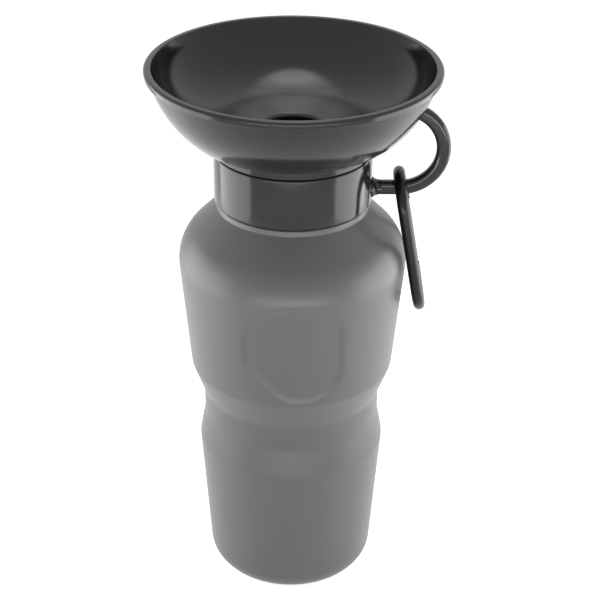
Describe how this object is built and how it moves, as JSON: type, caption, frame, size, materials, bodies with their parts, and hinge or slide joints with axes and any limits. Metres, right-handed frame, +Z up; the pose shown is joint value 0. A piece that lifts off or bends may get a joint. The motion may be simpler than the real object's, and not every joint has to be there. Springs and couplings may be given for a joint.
{
  "type": "dog travel water bottle",
  "caption": "Squeeze water bottle for a dog, with a drinking bowl on its screw lid, a drain valve in the bowl, a carry loop and a spring-gate ring.",
  "frame": {"origin": "centre of the ring on the base that the bottle stands on, on the bottle's axis", "axes": "+Z up along the bottle's axis, from base to bowl; +X towards the carry loop; -Y towards the thumb recess"},
  "size_m": [0.1172, 0.1128, 0.2252],
  "materials": {
    "bottle": "satin mid grey",
    "lid": "semi-gloss dark grey",
    "insert": "satin",
    "plug": "matte",
    "silicone": "matte",
    "tube": "milky",
    "ring": "black anodised, satin",
    "pins": "bright"
  },
  "bodies": {
    "bottle": {"bottle": "bottle"},
    "neck_seal": {"neck_gasket": "silicone"},
    "insert": {"valve_insert": "insert", "valve_plug": "plug", "dip_tube": "tube"},
    "collar": {"collar": "lid", "carry_loop": "lid"},
    "bowl_seal": {"bowl_o_ring": "silicone"},
    "bowl": {"bowl": "lid", "bowl_retainer": "insert"},
    "ring": {"ring_frame": "ring"},
    "gate": {"ring_gate": "ring", "gate_rivet": "pins", "latch_pin": "pins", "gate_plunger": "pins", "gate_spring": "pins"}
  },
  "joints": [
    {"name": "lid_lift", "type": "slide", "parent": "bottle", "child": "neck_seal", "axis": [0, 0, 1], "range_m": [0, 0.185]},
    {"name": "collar_rise", "type": "slide", "parent": "neck_seal", "child": "insert", "axis": [0, 0, 1], "range_m": [0, 0.006]},
    {"name": "collar_turn", "type": "hinge", "parent": "insert", "child": "collar", "pos_m": [0, 0, 0.18], "axis": [0, 0, 1], "range_deg": [0, 540]},
    {"name": "bowl_rise", "type": "slide", "parent": "insert", "child": "bowl_seal", "axis": [0, 0, 1], "range_m": [0, 0.0015]},
    {"name": "bowl_twist", "type": "hinge", "parent": "bowl_seal", "child": "bowl", "pos_m": [0, 0, 0.2], "axis": [0, 0, 1], "range_deg": [0, 90]},
    {"name": "ring_swing", "type": "hinge", "parent": "collar", "child": "ring", "pos_m": [0.0412, 0, 0.175], "axis": [-0.9848, -0.1736, 0], "range_deg": [0, 95]},
    {"name": "gate_open", "type": "hinge", "parent": "ring", "child": "gate", "pos_m": [0.04412, 0.0115, 0.16562], "axis": [-0.9837, 0.0175, -0.1788], "range_deg": [0, 25], "stiffness_Nm_per_rad": 0.006, "springref_deg": -57.3}
  ],
  "couplings": [
    {"joint": "collar_rise", "follows": "collar_turn", "m_per_rad": 0.0006366},
    {"joint": "bowl_rise", "follows": "bowl_twist", "m_per_rad": 0.0009549}
  ]
}
